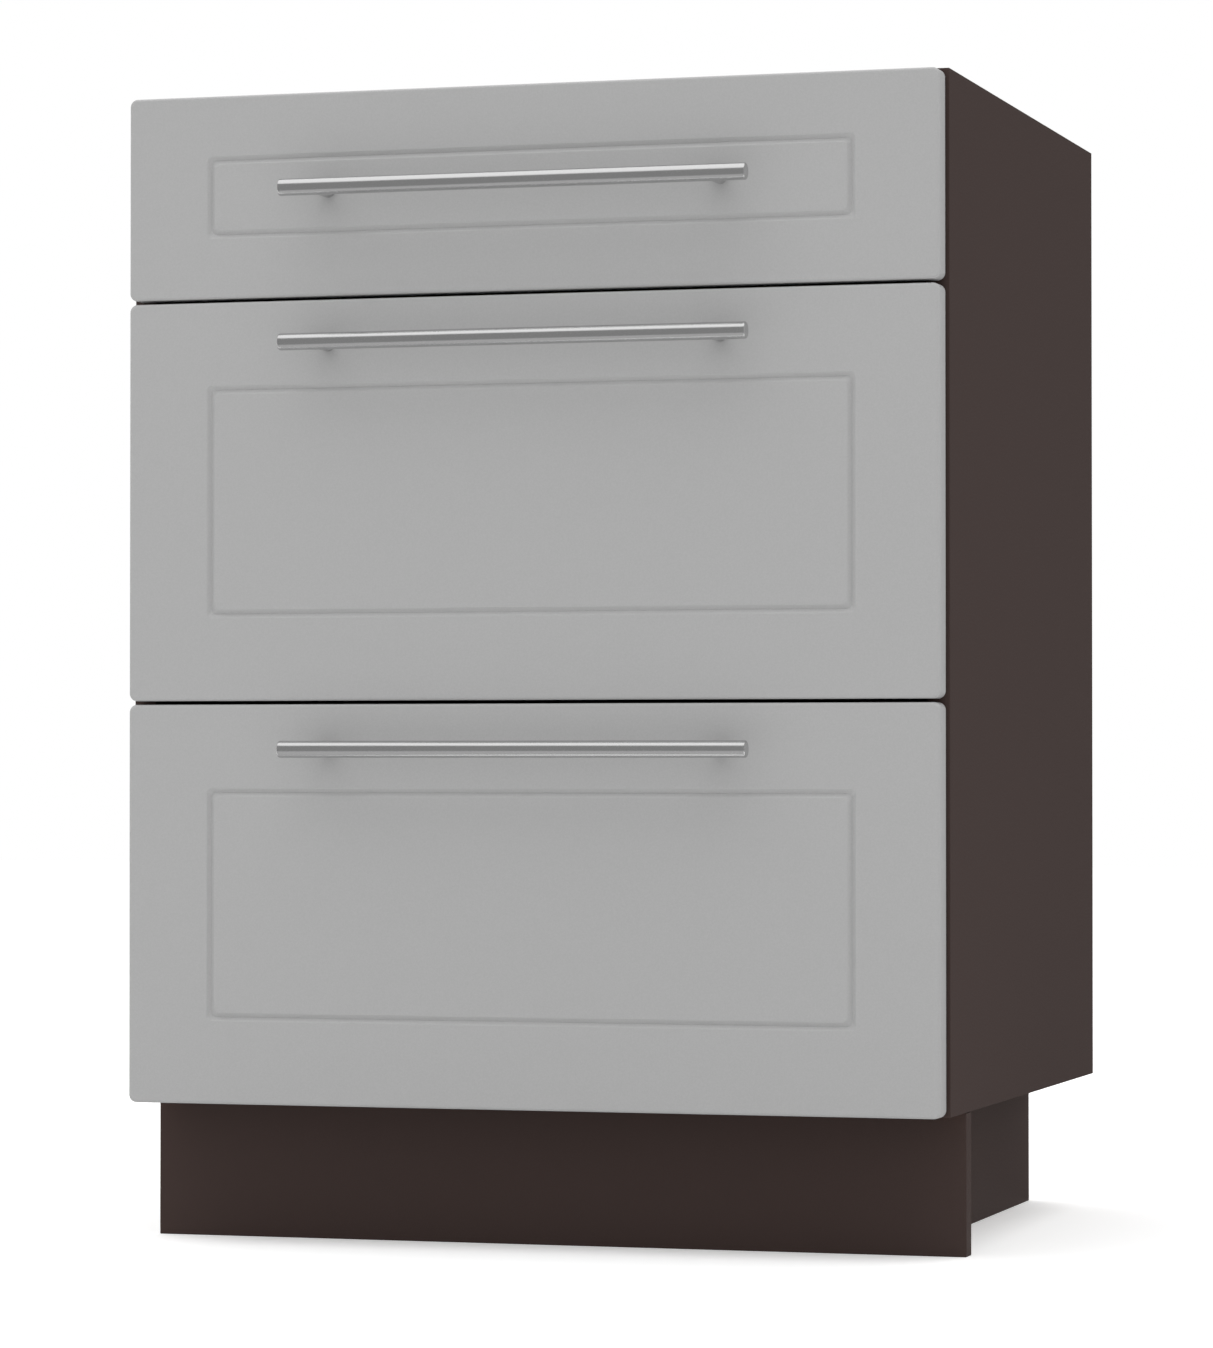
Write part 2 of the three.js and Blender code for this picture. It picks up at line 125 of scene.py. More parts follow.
# %% Rings to a closed body
def ring_faces(rings):
    """Faces of a loft of rings (k, n, 3): quads between neighbours, one cap at each end.
    Quad (i, j) has the corners (i, j), (i, j + 1), (i + 1, j + 1) and (i + 1, j)."""
    count, around = rings.shape[:2]
    index = np.arange(count * around).reshape(count, around)
    beside = np.roll(index, -1, axis=1)
    quads = np.stack([index[:-1], beside[:-1], beside[1:], index[1:]], axis=-1)
    return quads.reshape(-1, 4), np.stack([index[0, ::-1], index[-1]])


def repeated(name, rings, places, materials):
    """One mesh that holds a copy of the same lofted body at each place (m, 3): the body's
    points are added to every place, and its face numbers step on by its point count."""
    points = rings.reshape(-1, 3)
    copies = points[None] + np.asarray(places)[:, None]
    steps = (np.arange(len(places)) * len(points))[:, None, None]
    faces = [face for kind in ring_faces(rings) for face in np.concatenate(kind + steps).tolist()]
    return add_mesh(name, copies, faces, materials)


def loft(name, rings, materials):
    """A closed body from rings (k, n, 3)."""
    return repeated(name, rings, [(0, 0, 0)], materials)


# %% Faces painted by the way they look
FACING = 0.9


def paint_sides(piece, slot, *directions):
    """Gives a material slot to the faces whose normal n and one of the directions d
    have a product n . d above FACING."""
    normals = np.zeros(len(piece.data.polygons) * 3)
    piece.data.polygons.foreach_get("normal", normals)
    facing = normals.reshape(-1, 3) @ np.array(directions, float).T
    slots = np.zeros(len(piece.data.polygons), np.int32)
    piece.data.polygons.foreach_get("material_index", slots)
    slots[(facing > FACING).any(axis=1)] = slot
    piece.data.polygons.foreach_set("material_index", slots)


# %% [markdown]
# ## Who carries a piece
# When a drawer opens, its front, box and handle have to go along. The pieces could be
# parented by hand, but the frame knows already which body each CAD node is on. So a new
# piece names the node that it stands for, or that it sits on, and takes the body from
# there.

# %% Bodies from the frame
record = frame["record"]
body_of_node = {
    node: body for body, nodes in record["behaviour"]["bodies"].items() for node in nodes
}


def stand_for(piece, node):
    """The piece takes the place of a CAD node: it goes on the node's body, and the node is hidden.
    """
    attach(piece, body_of_node[node])
    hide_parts(node)


def go_with(piece, node):
    """The piece is a small extra on a CAD node's body."""
    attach(piece, body_of_node[node])


print("CAD nodes on bodies:", len(body_of_node))

# %% [markdown]
# ## Finishes
# A finish could be a photograph wrapped round each piece, but that has seams and blurs
# close up. Here each finish is one Principled shader. Its even numbers are set on the
# shader's own sockets, and noise on Object coordinates adds the fine detail: the speckle
# of the foil, the brush lines of the steel, the flakes of raw chipboard. Object
# coordinates are metres, so a noise scale is simply the number of lumps per metre.

# %% A colour and a plain finish
def tone(red, green, blue):
    """An 8-bit colour as the linear colour that a shader takes: with v from 0 to 1,
    v / 12.92 in the deepest shades and ((v + 0.055) / 1.055)^2.4 above them."""
    value = np.array([red, green, blue]) / 255
    curve = np.where(value <= 0.04045, value / 12.92, ((value + 0.055) / 1.055) ** 2.4)
    return (*curve.tolist(), 1.0)


def new_finish(name, color, roughness, metallic=0.0, specular=0.5):
    """A Principled material with its even numbers set."""
    material = bpy.data.materials.new(name)
    material.use_nodes = True
    shader = material.node_tree.nodes["Principled BSDF"]
    shader.inputs["Base Color"].default_value = color
    shader.inputs["Roughness"].default_value = roughness
    shader.inputs["Metallic"].default_value = metallic
    shader.inputs["Specular IOR Level"].default_value = specular
    return material


# %% Noise and flakes
def link(material, output, node_input):
    """Joins two sockets of a material."""
    material.node_tree.links.new(output, node_input)


def lumps(material, per_metre, detail=3.0, stretch=(1.0, 1.0, 1.0)):
    """Noise with that many lumps per metre; stretch multiplies them along x, y and z."""
    nodes = material.node_tree.nodes
    place = nodes.new("ShaderNodeTexCoord")
    mapping = nodes.new("ShaderNodeMapping")
    texture = nodes.new("ShaderNodeTexNoise")
    mapping.inputs["Scale"].default_value = stretch
    texture.inputs["Scale"].default_value = per_metre
    texture.inputs["Detail"].default_value = detail
    link(material, place.outputs["Object"], mapping.inputs["Vector"])
    link(material, mapping.outputs["Vector"], texture.inputs["Vector"])
    return texture.outputs["Fac"]


def flakes(material, per_metre):
    """A random grey value for each cell of a Voronoi pattern."""
    nodes = material.node_tree.nodes
    place = nodes.new("ShaderNodeTexCoord")
    texture = nodes.new("ShaderNodeTexVoronoi")
    texture.inputs["Scale"].default_value = per_metre
    link(material, place.outputs["Object"], texture.inputs["Vector"])
    return texture.outputs["Color"]


# %% Noise to colour, gloss and relief
NOISE_LOW, NOISE_HIGH = 0.3, 0.7


def shade_between(material, value, low, high, start=0.35, end=0.65):
    """Base colour from low to high as the value goes from start to end."""
    ramp = material.node_tree.nodes.new("ShaderNodeValToRGB")
    ramp.color_ramp.elements[0].position = start
    ramp.color_ramp.elements[0].color = low
    ramp.color_ramp.elements[1].position = end
    ramp.color_ramp.elements[1].color = high
    link(material, value, ramp.inputs["Fac"])
    shader = material.node_tree.nodes["Principled BSDF"]
    link(material, ramp.outputs["Color"], shader.inputs["Base Color"])


def gloss_between(material, value, low, high):
    """Roughness from low to high as the value goes from NOISE_LOW to NOISE_HIGH."""
    spread = material.node_tree.nodes.new("ShaderNodeMapRange")
    spread.inputs["From Min"].default_value = NOISE_LOW
    spread.inputs["From Max"].default_value = NOISE_HIGH
    spread.inputs["To Min"].default_value = low
    spread.inputs["To Max"].default_value = high
    link(material, value, spread.inputs["Value"])
    shader = material.node_tree.nodes["Principled BSDF"]
    link(material, spread.outputs["Result"], shader.inputs["Roughness"])


def relief(material, value, height):
    """A bump of that height in metres as the value goes from 0 to 1."""
    nodes = material.node_tree.nodes
    bump = nodes.new("ShaderNodeBump")
    bump.inputs["Distance"].default_value = height
    bump.inputs["Strength"].default_value = 1.0
    link(material, value, bump.inputs["Height"])
    link(material, bump.outputs["Normal"], nodes["Principled BSDF"].inputs["Normal"])


# %% [markdown]
# ### Grey foil
# The fronts are wrapped in a light grey foil with a satin sheen. One flat grey would look
# like a screen, so two greys, four levels apart, change over about a millimetre. The
# gloss drifts in patches of a few millimetres, and a relief of two thousandths of a
# millimetre breaks up the sheen.

# %% Grey foil of the fronts
grey_foil = new_finish("grey_foil", tone(171, 171, 171), roughness=0.5, specular=0.3)
foil_speckle = lumps(grey_foil, per_metre=900, detail=2)
foil_patches = lumps(grey_foil, per_metre=260, detail=4)
foil_pores = lumps(grey_foil, per_metre=1400, detail=1)
shade_between(grey_foil, foil_speckle, tone(169, 169, 169), tone(173, 173, 173))
gloss_between(grey_foil, foil_patches, low=0.46, high=0.54)
relief(grey_foil, foil_pores, height=2e-6)
print("foil:", grey_foil.name, "with", len(grey_foil.node_tree.nodes), "shader nodes")

# %% [markdown]
# ### Melamine
# The boards are chipboard under matte melamine paper, dark brown with a fine pearly
# grain. The edge bands and the pale grey backs of the fronts have such paper in tones of
# their own, so one function makes them all from two close colours each.

# %% Melamine papers
def melamine(name, dark, light):
    """Matte melamine paper: two close tones in fine specks, with a pearly relief."""
    material = new_finish(name, light, roughness=0.65, specular=0.05)
    shade_between(material, lumps(material, per_metre=1800, detail=3), dark, light)
    gloss_between(material, lumps(material, per_metre=700, detail=2), low=0.6, high=0.7)
    relief(material, lumps(material, per_metre=1500, detail=2), height=4e-6)
    return material


brown_board = melamine("brown_melamine", tone(66, 54, 51), tone(72, 60, 57))
plinth_board = melamine("plinth_melamine", tone(66, 54, 51), tone(72, 60, 57))
edge_band = melamine("edge_band", tone(65, 53, 50), tone(71, 59, 56))
front_backing = melamine("front_backing", tone(166, 166, 166), tone(172, 172, 172))
print("papers:", brown_board.name, plinth_board.name, edge_band.name, front_backing.name)

# %% [markdown]
# ### Raw chipboard and hardboard
# Where an edge was never banded, the chips show: glued flakes, light and dark, about two
# millimetres across. A Voronoi pattern gives each of its cells a grey of its own, as each
# flake has. Hardboard is pressed fibre, finer and more even, so noise between two browns
# is enough. Its lacquered side is as smooth as melamine.

# %% Raw chipboard
CHIPS_PER_METRE = 520

raw_chipboard = new_finish("raw_chipboard", tone(176, 146, 108), roughness=0.9, specular=0.1)
chips = flakes(raw_chipboard, CHIPS_PER_METRE)
shade_between(raw_chipboard, chips, tone(138, 108, 74), tone(200, 172, 132), start=0.1, end=0.9)
relief(raw_chipboard, lumps(raw_chipboard, per_metre=900, detail=5), height=1e-4)
print("chips:", round(1 / (CHIPS_PER_METRE * MM), 1), "mm across")

# %% Hardboard, raw and lacquered
raw_hardboard = new_finish("raw_hardboard", tone(150, 116, 82), roughness=0.75, specular=0.2)
fibres = lumps(raw_hardboard, per_metre=420, detail=8)
shade_between(raw_hardboard, fibres, tone(132, 100, 68), tone(166, 132, 96))
relief(raw_hardboard, lumps(raw_hardboard, per_metre=1100, detail=6), height=2e-5)
lacquered_hardboard = melamine("lacquered_hardboard", tone(70, 60, 57), tone(76, 66, 63))
print("hardboard:", raw_hardboard.name, lacquered_hardboard.name)

# %% [markdown]
# ### Steel
# The handles are satin steel, ground along the bar. Noise that is stretched well over a
# hundred times along it gives those lines, in the gloss and in the relief. Runners and
# screws are zinc-plated: the coating has soft clouds of two greys and an uneven gloss.
# The balls are polished, so they get brighter greys and less roughness.

# %% Satin steel, ground along the bar
LINES_ALONG = 30
LINES_ACROSS = 4200

satin_steel = new_finish("satin_steel", tone(203, 203, 203), roughness=0.2, metallic=1.0)
stretch = (LINES_ALONG, LINES_ACROSS, LINES_ACROSS)
brush_lines = lumps(satin_steel, per_metre=1.0, detail=3, stretch=stretch)
gloss_between(satin_steel, brush_lines, low=0.16, high=0.26)
relief(satin_steel, brush_lines, height=1.5e-6)
print("brush lines are", LINES_ACROSS // LINES_ALONG, "times as long as wide")

# %% Plated and polished steel
def plated(name, dark, light, clouds, smooth, rough):
    """Plated steel: so many clouds of two greys per metre, and three times as many
    patches of gloss, from smooth to rough."""
    material = new_finish(name, light, roughness=smooth, metallic=1.0)
    shade_between(material, lumps(material, clouds, detail=5), dark, light)
    gloss_between(material, lumps(material, 3 * clouds, detail=4), smooth, rough)
    return material


zinc_steel = plated(
    "zinc_steel", tone(178, 182, 186), tone(192, 196, 199), clouds=60, smooth=0.28, rough=0.4
)
screw_zinc = plated(
    "screw_zinc", tone(176, 180, 184), tone(204, 206, 208), clouds=600, smooth=0.2, rough=0.36
)
bearing_steel = plated(
    "bearing_steel", tone(202, 202, 204), tone(220, 220, 222), clouds=400, smooth=0.08, rough=0.16
)
print("plated:", zinc_steel.name, screw_zinc.name, bearing_steel.name)

# %% [markdown]
# ### Clear rubber
# The bumper dots are soft clear plastic. A glass shader would be truer, but the dots are
# thin and lie on a grey board, so a glossy grey close to that board's looks the same.

# %% Clear rubber of the bumpers
clear_rubber = new_finish("clear_rubber", tone(168, 168, 165), roughness=0.4)
rubber_clouds = lumps(clear_rubber, per_metre=500)
shade_between(clear_rubber, rubber_clouds, tone(158, 158, 154), tone(178, 178, 175))
gloss_between(clear_rubber, lumps(clear_rubber, per_metre=600), low=0.35, high=0.5)
print("materials so far, with the CAD's own:", len(bpy.data.materials))

# %% [markdown]
# ## Drawer fronts
# Each front is fibreboard, milled and then wrapped in foil, so the edges round its face
# are soft, as are the lips and the floor of its frame groove, and its back edges are
# square. It could be a box with a bevel and a boolean groove, but the foil's softness is
# in the section. So the section is carried round the board: each ring is a rectangle
# with round corners, and the rings go from the middle of the back, over the edge, across
# the face, through the groove and on to the middle of the face.

# %% Rounded rectangle
CORNER_STEPS = 10


def rounded_rings(half_width, half_height, radius):
    """Rings (k, n, 2) of rectangles with round corners, from arrays of k sizes each.
    Corner c is the quarter circle of that radius about the corner's own centre."""
    turn = np.linspace(0, np.pi / 2, CORNER_STEPS + 1)
    angle = (np.arange(4)[:, None] * np.pi / 2 + turn).ravel()
    sign_x = np.repeat([1.0, -1.0, -1.0, 1.0], CORNER_STEPS + 1)
    sign_z = np.repeat([1.0, 1.0, -1.0, -1.0], CORNER_STEPS + 1)
    width, height, round_ = (np.asarray(v)[:, None] for v in (half_width, half_height, radius))
    x = sign_x * (width - round_) + round_ * np.cos(angle)
    z = sign_z * (height - round_) + round_ * np.sin(angle)
    return np.stack([x, z], axis=-1)


print("points in a ring:", 4 * (CORNER_STEPS + 1))

# %% Edge of a front
EDGE_ROUND = 2 * MM
EDGE_STEPS = 9
CORNER_RADIUS = 5.5 * MM
BACK_EDGE_BREAK = 0.3 * MM
EASE = 0.4 * MM


def front_edge(thickness):
    """Inset and depth of each ring round the edge, from the back to the face. At turn t
    of the rounding r, the inset is r (1 - cos t) and the depth is r (1 - sin t). A last
    ring, EASE further in, keeps the face's shading flat."""
    turn = np.linspace(0, np.pi / 2, EDGE_STEPS)
    face_inset = EDGE_ROUND * (1 - np.cos(turn))
    face_depth = EDGE_ROUND * (1 - np.sin(turn))
    inset = np.concatenate([[EDGE_ROUND, BACK_EDGE_BREAK, 0.0], face_inset, [EDGE_ROUND + EASE]])
    depth = np.concatenate([[thickness, thickness, thickness - BACK_EDGE_BREAK], face_depth, [0.0]])
    return inset, depth


print("edge of a front: rounded by", round(EDGE_ROUND / MM, 1), "mm at the face")

# %% Frame groove
GROOVE_WIDTH = 6 * MM
GROOVE_DEPTH = 2.1 * MM
GROOVE_STEPS = 33
GROOVE_FLOOR_POWER = 1.2
GROOVE_LIP_POWER = 1.2
GROOVE_OUTER_RADIUS = 3 * MM
GROOVE_INNER_RADIUS = 4.5 * MM


def front_groove():
    """Place across, depth and corner radius of each ring in the groove. With u the
    distance from the groove's middle line over half its width, the depth is (1 - u^p)^q
    of the full one: p rounds the floor and q softens the lips."""
    across = np.linspace(0, GROOVE_WIDTH, GROOVE_STEPS)
    from_middle = np.abs(2 * across / GROOVE_WIDTH - 1)
    depth = GROOVE_DEPTH * (1 - from_middle**GROOVE_FLOOR_POWER) ** GROOVE_LIP_POWER
    place = np.concatenate([[-EASE], across, [GROOVE_WIDTH + EASE]])
    share = np.clip(place / GROOVE_WIDTH, 0, 1)
    radius = GROOVE_OUTER_RADIUS + share * (GROOVE_INNER_RADIUS - GROOVE_OUTER_RADIUS)
    return place, np.concatenate([[0.0], depth, [0.0]]), radius


print("groove:", round(front_groove()[1].max() / MM, 2), "mm deep")

# %% Section of a front, from its back to the middle of its face
GROOVE_MARGIN = 59.5 * MM
GROOVE_MARGIN_BELOW = 59 * MM
GROOVE_MARGIN_TOP_FRONT = 43 * MM


def front_section(thickness, above, below):
    """Arrays for the rings: inset across, inset up, lift of the middle, radius, depth.
    The groove lies above and below at its own margins, so its rings are lifted by half
    of the difference."""
    edge_inset, edge_depth = front_edge(thickness)
    place, groove_depth, groove_radius = front_groove()
    inset_x = np.concatenate([edge_inset, GROOVE_MARGIN + place])
    inset_z = np.concatenate([edge_inset, (above + below) / 2 + place])
    lift = np.concatenate([0 * edge_inset, (below - above) / 2 + 0 * place])
    radius = np.concatenate([CORNER_RADIUS - edge_inset, groove_radius])
    return inset_x, inset_z, lift, radius, np.concatenate([edge_depth, groove_depth])


print("groove of a tall front:", round(GROOVE_MARGIN / MM, 1), "mm inside its edges")

# %% Three fronts
for level in LEVELS:
    low, high = corners(f"drawer_front_{level}")
    middle = (low + high) / 2
    half = (high - low) / 2
    above = GROOVE_MARGIN_TOP_FRONT if level == "top" else GROOVE_MARGIN
    below = GROOVE_MARGIN_TOP_FRONT if level == "top" else GROOVE_MARGIN_BELOW
    inset_x, inset_z, lift, radius, depth = front_section(high[1] - low[1], above, below)
    flat = rounded_rings(half[0] - inset_x, half[2] - inset_z, radius)
    x = middle[0] + flat[..., 0]
    y = np.broadcast_to((low[1] + depth)[:, None], x.shape)
    z = middle[2] + lift[:, None] + flat[..., 1]
    front = loft(f"front_{level}", np.stack([x, y, z], axis=-1), [grey_foil, front_backing])
    paint_sides(front, 1, BACK)
    stand_for(front, f"drawer_front_{level}")
    print(front.name, np.round((high - low) / MM, 1), "mm,", len(front.data.polygons), "faces")

# %% [markdown]
# ## Handles
# A handle is a straight satin bar with its ends lightly rounded, on two posts. Both are
# turned on a lathe, so they could be cylinders with a bevel. A lathe's cut is a list of
# radii along an axis, though, and that says the same in two short arrays: each radius
# becomes a circle, and the circles become a loft.

# %% Circles along an axis
ROUND_SIDES = 64


def turned(radii, along, sides=ROUND_SIDES):
    """Rings (k, n, 3) about the z axis: circle k has radius radii[k] at z = along[k]."""
    angle = np.arange(sides) * 2 * np.pi / sides
    radii, along = np.asarray(radii)[:, None], np.asarray(along)[:, None]
    flat = np.stack([radii * np.cos(angle), radii * np.sin(angle)], axis=-1)
    height = np.broadcast_to(along, flat.shape[:2])[..., None]
    return np.concatenate([flat, height], axis=-1)


def aimed(rings, axis, origin=(0, 0, 0)):
    """Turns rings made about z so that z points along a unit axis, and moves them."""
    turn = Vector((0, 0, 1)).rotation_difference(Vector(axis)).to_matrix()
    return rings @ np.array(turn).T + np.asarray(origin)


print("sides of a turned piece:", ROUND_SIDES)

# %% Bar
BAR_END_ROUND = 1.3 * MM
BAR_END_STEPS = 6


def bar_size(level):
    """Middle, half length and radius of a bar, from its CAD node."""
    low, high = corners(f"handle_bar_{level}")
    return (low + high) / 2, (high[0] - low[0]) / 2, (high[2] - low[2]) / 2


def handle_bar(level):
    """A rod with rounded ends: at turn t of the rounding r, its radius is less by
    r (1 - sin t), at r (1 - cos t) from the end. Each end is closed 2 r inside its rim,
    and the last ring of the rounding is followed by one at 3 r from the end."""
    middle, end, radius = bar_size(level)
    turn = np.linspace(0, np.pi / 2, BAR_END_STEPS)
    steps = BAR_END_ROUND * np.concatenate([[0.0], 1 - np.cos(turn), [3.0]])
    radii = radius - BAR_END_ROUND * np.concatenate([[2.0], 1 - np.sin(turn), [0.0]])
    along = np.concatenate([-end + steps, (end - steps)[::-1]])
    rings = aimed(turned(np.concatenate([radii, radii[::-1]]), along), RIGHT, middle)
    stand_for(loft(f"bar_{level}", rings, [satin_steel]), f"handle_bar_{level}")


# %% [markdown]
# A post stands on the front and ends where it meets the round bar. A boolean could cut
# it to the bar, but the meeting line has a formula, so the last ring simply follows it.

# %% Post
POST_FOOT_CHAMFER = 0.4 * MM


def handle_post(level, side):
    """A rod from the front to the bar, with a chamfered foot. A point of its last ring
    that lies h above the bar's axis ends at sqrt(R^2 - h^2) from it, R being the bar's
    radius."""
    node = f"handle_post_{level}_{side}"
    low, high = corners(node)
    middle, _, bar_radius = bar_size(level)
    radii = (high[0] - low[0]) / 2 - POST_FOOT_CHAMFER * np.array([1, 0, 0, 0])
    rings = turned(radii, POST_FOOT_CHAMFER * np.array([0, 1, 4, 4]))
    rings[-1, :, 2] = face_y - middle[1] - np.sqrt(bar_radius**2 - rings[-1, :, 1] ** 2)
    foot = ((low[0] + high[0]) / 2, face_y, middle[2])
    stand_for(loft(f"post_{level}_{side}", aimed(rings, FORWARD, foot), [satin_steel]), node)


# %% Three handles
for level in LEVELS:
    handle_bar(level)
    for side in SIDES:
        handle_post(level, side)
middle, end, radius = bar_size("top")
print("bar:", round(2 * end / MM), "mm long,", round(2 * radius / MM), "mm thick")

# %% [markdown]
# ## Boards
# A chipboard board is one outline carried straight through, so its grooves are in the
# outline. A plain cube would show razor-sharp edges. A Bevel modifier breaks every edge
# by half a millimetre, as edge banding does, and gives the broken edge the band's own
# finish. The edges that nobody sees on a fitted cabinet were never banded: there the raw
# chipboard shows.

# %% Outline carried through
AXES = {"x": (1, 2, 0), "y": (0, 2, 1), "z": (0, 1, 2)}        # two across, then the run


def through(outline, axis, start, end):
    """Rings (2, n, 3): an outline in the other two axes, at both ends of its run."""
    first, second, run = AXES[axis]
    outline = np.asarray(outline, float)
    rings = np.zeros((2, len(outline), 3))
    rings[:, :, first] = outline[:, 0]
    rings[:, :, second] = outline[:, 1]
    rings[:, :, run] = np.array([start, end])[:, None]
    return rings


def rectangle(low, high, axis):
    """The outline of a plain board, in the two axes across its run."""
    a, b = AXES[axis][:2]
    return [(low[a], low[b]), (high[a], low[b]), (high[a], high[b]), (low[a], high[b])]


def grooved(outer, inner, floor, span, groove):
    """The outline of a board with one groove in its inner face: outer, inner and floor
    are heights through the board, span and groove are stretches along it."""
    return [
        (outer, span[0]),
        (outer, span[1]),
        (inner, span[1]),
        (inner, groove[1]),
        (floor, groove[1]),
        (floor, groove[0]),
        (inner, groove[0]),
        (inner, span[0]),
    ]


# %% A board in place of its CAD node
EDGE_BREAK = 0.5 * MM
EDGE_SEGMENTS = 2


def soften(piece, width, band_slot=-1):
    """Breaks every edge by that width; the broken edge takes the band's slot."""
    bevel = piece.modifiers.new("edges", "BEVEL")
    bevel.width = width
    bevel.segments = EDGE_SEGMENTS
    bevel.limit_method = "ANGLE"
    bevel.angle_limit = SHARP_ANGLE
    bevel.harden_normals = True
    bevel.material = band_slot


def chipboard(node, outline, axis, start, end, raw=(), face=brown_board):
    """A board in place of a CAD node; raw lists the directions of its unbanded edges."""
    finishes = [face, raw_chipboard, edge_band]
    piece = loft("board_" + node, through(outline, axis, start, end), finishes)
    if raw:
        paint_sides(piece, 1, *raw)
    soften(piece, EDGE_BREAK, band_slot=2)
    stand_for(piece, node)


def plain_board(node, raw=(), face=brown_board):
    """A board without a groove, carried from its lowest to its highest z."""
    low, high = corners(node)
    chipboard(node, rectangle(low, high, "z"), "z", low[2], high[2], raw=raw, face=face)


# %% Side panels of the carcass and the plinth
FIT = 0.3 * MM


def outer_and_inner(low, high, sign):
    """x of the outer and the inner face of what stands at one side of the cabinet."""
    return (low[0], high[0]) if sign < 0 else (high[0], low[0])


back_low, back_high = corners("back_panel")
back_groove = (back_low[1] - FIT, back_high[1] + FIT)
for side, sign in SIDES.items():
    node = f"side_panel_{side}"
    low, high = corners(node)
    outer, inner = outer_and_inner(low, high, sign)
    floor = outer_and_inner(back_low, back_high, sign)[0] + sign * FIT
    outline = grooved(outer, inner, floor, (low[1], high[1]), back_groove)
    chipboard(node, outline, "z", low[2], high[2], raw=(BACK, DOWN))
    plain_board(f"plinth_side_{side}", raw=(DOWN, BACK), face=plinth_board)
print("side panel:", np.round((high - low) / MM), "mm")

# %% Boards across the cabinet
plain_board("bottom_panel", raw=(BACK, LEFT, RIGHT))
plain_board("top_rail_front", raw=(BACK, LEFT, RIGHT))
plain_board("top_rail_rear", raw=(FORWARD, BACK, LEFT, RIGHT))
plain_board("plinth_front", raw=(DOWN,), face=plinth_board)
low, high = corners("plinth_front")
print("plinth's front board:", np.round((high - low) / MM), "mm")

# %% [markdown]
# ## Drawer boxes
# A drawer box is four boards round a hardboard bottom, which sits in a groove of the
# sides and the front. The box fronts have holes for the heads of the handle screws. Their
# CAD shape is right as it is, so those three only get the brown finish in their slot.

# %% Drawer boxes
BOX_GROOVE_DEPTH = 8 * MM

for level in LEVELS:
    bottom_low, bottom_high = corners(f"box_bottom_{level}")
    bottom_groove = (bottom_low[2] - FIT, bottom_high[2] + FIT)
    for side, sign in SIDES.items():
        node = f"box_side_{level}_{side}"
        low, high = corners(node)
        outer, inner = outer_and_inner(low, high, sign)
        floor = inner + sign * BOX_GROOVE_DEPTH
        outline = grooved(outer, inner, floor, (low[2], high[2]), bottom_groove)
        chipboard(node, outline, "y", low[1], high[1], raw=(DOWN, BACK))
    plain_board(f"box_back_{level}", raw=(DOWN,))
    frame["nodes"][f"box_front_{level}"].material_slots[0].material = brown_board
    print("box side,", level, np.round((high - low) / MM), "mm")

# %% [markdown]
# ## Hardboard
# The cabinet's back and the drawer bottoms are sheets three millimetres thin. One side is
# lacquered brown and looks inwards, and the other is raw. So each is a board with two
# finishes, and its edges are broken by half as much as a thick board's.

# %% Back panel and drawer bottoms
def hardboard(node, lacquered_side):
    """A thin sheet in place of a CAD node: lacquered on one side, raw on the rest."""
    low, high = corners(node)
    rings = through(rectangle(low, high, "z"), "z", low[2], high[2])
    piece = loft("hardboard_" + node, rings, [raw_hardboard, lacquered_hardboard])
    paint_sides(piece, 1, lacquered_side)
    soften(piece, EDGE_BREAK / 2)
    stand_for(piece, node)


hardboard("back_panel", FORWARD)
for level in LEVELS:
    hardboard(f"box_bottom_{level}", UP)

# %% [markdown]
# ## Runners
# A full-extension runner has three rolled steel members, one inside the other, and rows
# of balls between them. Solidify could thicken a bent plane, but both faces of the steel
# are easy to work out. A member's section is a strip bent round its corners: a middle
# line with round corners, moved half the steel's thickness to both sides. A section is
# drawn in t and z: t is the distance from the side panel towards the drawer box, and z
# is measured from the runner's middle.

# %% Section of a bent strip
BEND_STEPS = 5


def rounded_path(points, radius):
    """A polyline (m, 2) whose inner corners are rounded: each becomes the curve
    (1 - s)^2 a + 2 s (1 - s) corner + s^2 b, where a and b lie a radius from the corner."""
    points = np.asarray(points, float)
    before, corner, after = points[:-2], points[1:-1], points[2:]
    back = before - corner
    ahead = after - corner
    a = corner + radius * back / np.linalg.norm(back, axis=1, keepdims=True)
    b = corner + radius * ahead / np.linalg.norm(ahead, axis=1, keepdims=True)
    s = np.linspace(0, 1, BEND_STEPS + 1)[None, :, None]
    curves = (1 - s) ** 2 * a[:, None] + 2 * s * (1 - s) * corner[:, None] + s**2 * b[:, None]
    return np.concatenate([points[:1], curves.reshape(-1, 2), points[-1:]])


def bent_strip(points, radius, thickness):
    """Closed outline of a strip: its middle line moved half a thickness to both sides."""
    path = rounded_path(points, radius)
    along = np.gradient(path, axis=0)
    along /= np.linalg.norm(along, axis=1, keepdims=True)
    across = np.stack([-along[:, 1], along[:, 0]], axis=-1) * thickness / 2
    return np.concatenate([path + across, (path - across)[::-1]])


# %% Sizes of a runner, worked out from the frame
STEEL = 1.2 * MM
WEB_GAP = 1 * MM
BALL = 3.2 * MM

